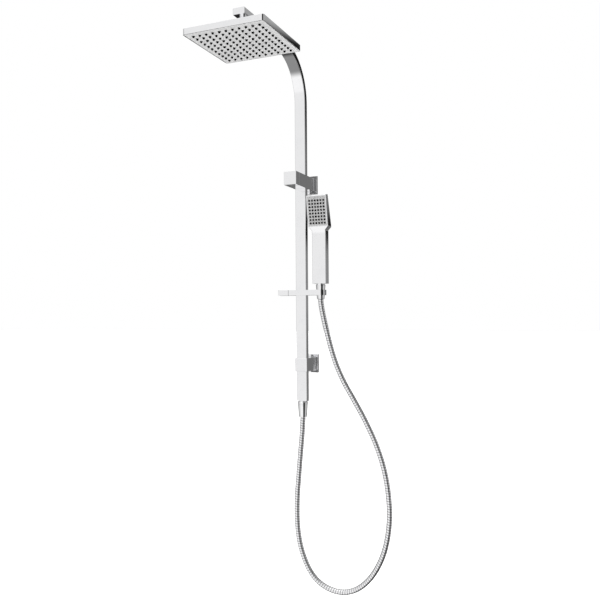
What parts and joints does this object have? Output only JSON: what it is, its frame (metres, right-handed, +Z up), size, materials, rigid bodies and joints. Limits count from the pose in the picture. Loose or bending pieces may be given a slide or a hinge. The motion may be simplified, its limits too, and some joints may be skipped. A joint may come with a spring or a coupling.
{
  "type": "rainfall shower column",
  "caption": "Wall-held shower column: square rain rose on a bent rectangular rail, diverter inlet, bracket, slider with a hand shower, and a metal hose.",
  "frame": {"origin": "centre of the water inlet's mouth, on the wall's face behind the upper bracket", "axes": "+X to the right seen from the front, +Y into the wall, +Z up"},
  "size_m": [0.3447, 0.4885, 1.4278],
  "materials": {
    "chrome": "polished",
    "brass": "machined",
    "satin_plate": "satin",
    "nozzle_rubber": "matt",
    "seal_rubber": "matt",
    "white_plastic": "moulded",
    "grey_plastic": "moulded",
    "steel": "machined",
    "hose_metal": "polished spiral"
  },
  "bodies": {
    "column": {"upper_flange": "chrome", "inlet_union": "brass", "diverter_body": "chrome", "rail_gaskets": "seal_rubber", "diverter_cartridge": "white_plastic", "cartridge_nut": "brass", "set_screws": "steel", "lower_flange": "chrome", "wall_boss": "brass", "lower_bracket": "chrome", "rail_tube": "chrome", "rail_outlet": "chrome", "arm_tube": "chrome", "arm_end_plug": "chrome", "arm_boss": "chrome", "ball_stem": "chrome", "hose": "hose_metal", "rail_hose_nut": "chrome", "rail_hose_tail": "brass", "rail_hose_washer": "seal_rubber"},
    "diverter": {"diverter_spindle": "brass", "valve_disc": "white_plastic", "diverter_knob": "chrome", "knob_screw": "steel"},
    "seat": {"ball_seat": "white_plastic"},
    "collar": {"ball_collar": "chrome"},
    "rose": {"rose_inlet_boss": "chrome", "rose_boss_nut": "brass", "rose_shell": "chrome", "rose_face_plate": "satin_plate", "rose_nozzle_mat": "nozzle_rubber"},
    "slider": {"slider_body": "chrome", "slider_liners": "grey_plastic", "button_spring": "steel", "cradle_liner": "grey_plastic"},
    "button": {"slider_button": "chrome", "grip_yoke": "steel"},
    "cone": {"cone_nut": "chrome", "cone_nut_tail": "brass", "cone_nut_washer": "seal_rubber"},
    "handset": {"handset_spigot": "chrome", "handset_shell": "chrome", "handset_face_plate": "satin_plate", "handset_nozzle_mat": "nozzle_rubber"}
  },
  "joints": [
    {"name": "diverter_turn", "type": "hinge", "parent": "column", "child": "diverter", "pos_m": [0, -0.12, 0], "axis": [0, 1, 0], "range_deg": [-90, 90]},
    {"name": "rose_tilt_front", "type": "hinge", "parent": "column", "child": "seat", "pos_m": [0, -0.3885, 0.296], "axis": [1, 0, 0], "range_deg": [-12, 12]},
    {"name": "rose_tilt_side", "type": "hinge", "parent": "seat", "child": "collar", "pos_m": [0, -0.3885, 0.296], "axis": [0, 1, 0], "range_deg": [-12, 12]},
    {"name": "rose_turn", "type": "hinge", "parent": "collar", "child": "rose", "pos_m": [0, -0.3885, 0.296], "axis": [0, 0, 1], "continuous": true},
    {"name": "slider_slide", "type": "slide", "parent": "column", "child": "slider", "axis": [0, 0, 1], "range_m": [-0.16, 0.265], "deforming": ["hose"]},
    {"name": "button_press", "type": "slide", "parent": "slider", "child": "button", "axis": [1, 0, 0], "range_m": [0, 0.0012], "stiffness_N_per_m": 2000, "springref_m": -0.003, "deforming": ["button_spring"]},
    {"name": "handset_lift", "type": "slide", "parent": "slider", "child": "cone", "axis": [0, 0, 1], "range_m": [0, 0.026], "deforming": ["hose"]},
    {"name": "handset_turn", "type": "hinge", "parent": "cone", "child": "handset", "pos_m": [0.054, -0.0575, -0.2745], "axis": [0, 0, 1], "range_deg": [-30, 180]}
  ]
}
